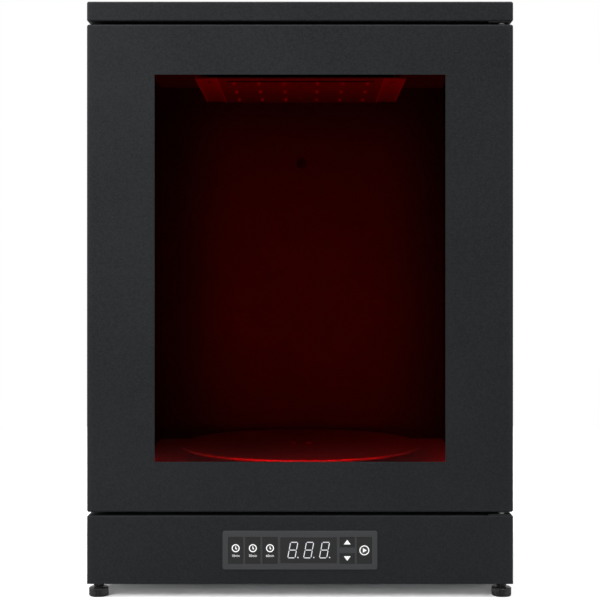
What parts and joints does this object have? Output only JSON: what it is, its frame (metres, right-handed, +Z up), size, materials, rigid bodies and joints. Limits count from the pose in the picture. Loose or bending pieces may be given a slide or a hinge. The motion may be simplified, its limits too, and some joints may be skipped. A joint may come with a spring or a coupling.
{
  "type": "resin print curing cabinet",
  "caption": "Floor-standing steel curing cabinet with a hinged tinted-window door, an inner turntable, ceiling and side lamps, a keypad plinth and levelling feet.",
  "frame": {"origin": "on the floor, at the middle of the footprint", "axes": "+X to the right seen from the front, +Y to the rear, +Z up"},
  "size_m": [0.5, 0.5, 0.699],
  "materials": {
    "powder_coat": "charcoal powder coat with a fine sand texture",
    "zinc_steel": "zinc-plated steel",
    "inner_coat": "black powder coat",
    "stainless": "bright rolled stainless sheet",
    "red_acrylic": "dark red transparent acrylic",
    "panel_plastic": "dark grey satin plastic",
    "key_plastic": "charcoal satin plastic with white marks",
    "display_tint": "smoked satin lens",
    "black_plastic": "black moulded plastic",
    "circuit_board": "green solder mask",
    "lamp_board": "white solder mask on aluminium core",
    "lamp_emitter": "clear moulded lens over the chip",
    "aluminium": "satin aluminium",
    "black_anodised": "black anodised aluminium",
    "motor_steel": "plated motor can",
    "magnet_ferrite": "magnet in a black plastic cup",
    "seal_rubber": "black foam rubber",
    "foot_plastic": "black knurled plastic on a zinc-plated stud"
  },
  "bodies": {
    "cabinet": {"base_shell": "powder_coat", "base_plate": "zinc_steel", "case_screws": "zinc_steel", "power_supply": "aluminium", "main_board": "circuit_board", "power_inlet": "black_plastic", "control_bezel": "panel_plastic", "display_lens": "display_tint", "display_module": "black_plastic", "control_board": "circuit_board", "key_switches": "black_plastic", "side_panel_left": "powder_coat", "side_panel_right": "powder_coat", "front_frame": "powder_coat", "back_panel": "powder_coat", "top_cover": "powder_coat", "chamber_floor": "stainless", "floor_rails": "zinc_steel", "chamber_liner": "stainless", "chamber_ceiling": "zinc_steel", "chamber_sensor": "black_plastic", "led_plate": "aluminium", "led_board": "lamp_board", "led_emitters": "lamp_emitter", "led_heatsink": "black_anodised", "led_posts": "aluminium", "led_screws": "zinc_steel", "side_led_bars": "aluminium", "side_led_emitters": "lamp_emitter", "bearing_housing": "aluminium", "gear_motor": "motor_steel", "hinge_pins": "powder_coat", "catch_magnets": "magnet_ferrite", "fan_housing": "black_plastic", "fan_guard": "zinc_steel", "door_switch": "black_plastic"},
    "door": {"door_skin": "powder_coat", "window_pane": "red_acrylic", "pane_frame": "zinc_steel", "door_liner": "inner_coat", "door_seal": "seal_rubber", "hinge_bushes": "black_plastic", "strike_plates": "zinc_steel", "pane_nuts": "zinc_steel"},
    "turntable": {"turntable_plate": "stainless", "turntable_hub": "aluminium", "turntable_screws": "zinc_steel", "drive_shaft": "zinc_steel"},
    "fan_wheel": {"fan_rotor": "black_plastic"},
    "rocker": {"switch_rocker": "black_plastic"},
    "key_timer_short": {"key_timer_short": "key_plastic"},
    "key_timer_medium": {"key_timer_medium": "key_plastic"},
    "key_timer_long": {"key_timer_long": "key_plastic"},
    "key_up": {"key_up": "key_plastic"},
    "key_down": {"key_down": "key_plastic"},
    "key_start": {"key_start": "key_plastic"},
    "foot_front_left": {"foot_front_left": "foot_plastic"},
    "foot_front_right": {"foot_front_right": "foot_plastic"},
    "foot_rear_left": {"foot_rear_left": "foot_plastic"},
    "foot_rear_right": {"foot_rear_right": "foot_plastic"}
  },
  "joints": [
    {"name": "door_hinge", "type": "hinge", "parent": "cabinet", "child": "door", "pos_m": [0.2374, -0.2402, 0.386], "axis": [0, 0, 1], "range_deg": [0, 120]},
    {"name": "turntable_spin", "type": "hinge", "parent": "cabinet", "child": "turntable", "pos_m": [0, 0, 0.147], "axis": [0, 0, 1], "continuous": true},
    {"name": "fan_spin", "type": "hinge", "parent": "cabinet", "child": "fan_wheel", "pos_m": [0, 0.234, 0.6], "axis": [0, 1, 0], "continuous": true},
    {"name": "mains_rocker", "type": "hinge", "parent": "cabinet", "child": "rocker", "pos_m": [-0.164, 0.243, 0.058], "axis": [1, 0, 0], "range_deg": [-14, 0]},
    {"name": "key_timer_short_press", "type": "slide", "parent": "cabinet", "child": "key_timer_short", "axis": [0, 1, 0], "range_m": [0, 0.0006], "stiffness_N_per_m": 800},
    {"name": "key_timer_medium_press", "type": "slide", "parent": "cabinet", "child": "key_timer_medium", "axis": [0, 1, 0], "range_m": [0, 0.0006], "stiffness_N_per_m": 800},
    {"name": "key_timer_long_press", "type": "slide", "parent": "cabinet", "child": "key_timer_long", "axis": [0, 1, 0], "range_m": [0, 0.0006], "stiffness_N_per_m": 800},
    {"name": "key_up_press", "type": "slide", "parent": "cabinet", "child": "key_up", "axis": [0, 1, 0], "range_m": [0, 0.0006], "stiffness_N_per_m": 800},
    {"name": "key_down_press", "type": "slide", "parent": "cabinet", "child": "key_down", "axis": [0, 1, 0], "range_m": [0, 0.0006], "stiffness_N_per_m": 800},
    {"name": "key_start_press", "type": "slide", "parent": "cabinet", "child": "key_start", "axis": [0, 1, 0], "range_m": [0, 0.0006], "stiffness_N_per_m": 800},
    {"name": "foot_front_left_height", "type": "slide", "parent": "cabinet", "child": "foot_front_left", "axis": [0, 0, -1], "range_m": [0, 0.01]},
    {"name": "foot_front_right_height", "type": "slide", "parent": "cabinet", "child": "foot_front_right", "axis": [0, 0, -1], "range_m": [0, 0.01]},
    {"name": "foot_rear_left_height", "type": "slide", "parent": "cabinet", "child": "foot_rear_left", "axis": [0, 0, -1], "range_m": [0, 0.01]},
    {"name": "foot_rear_right_height", "type": "slide", "parent": "cabinet", "child": "foot_rear_right", "axis": [0, 0, -1], "range_m": [0, 0.01]}
  ]
}
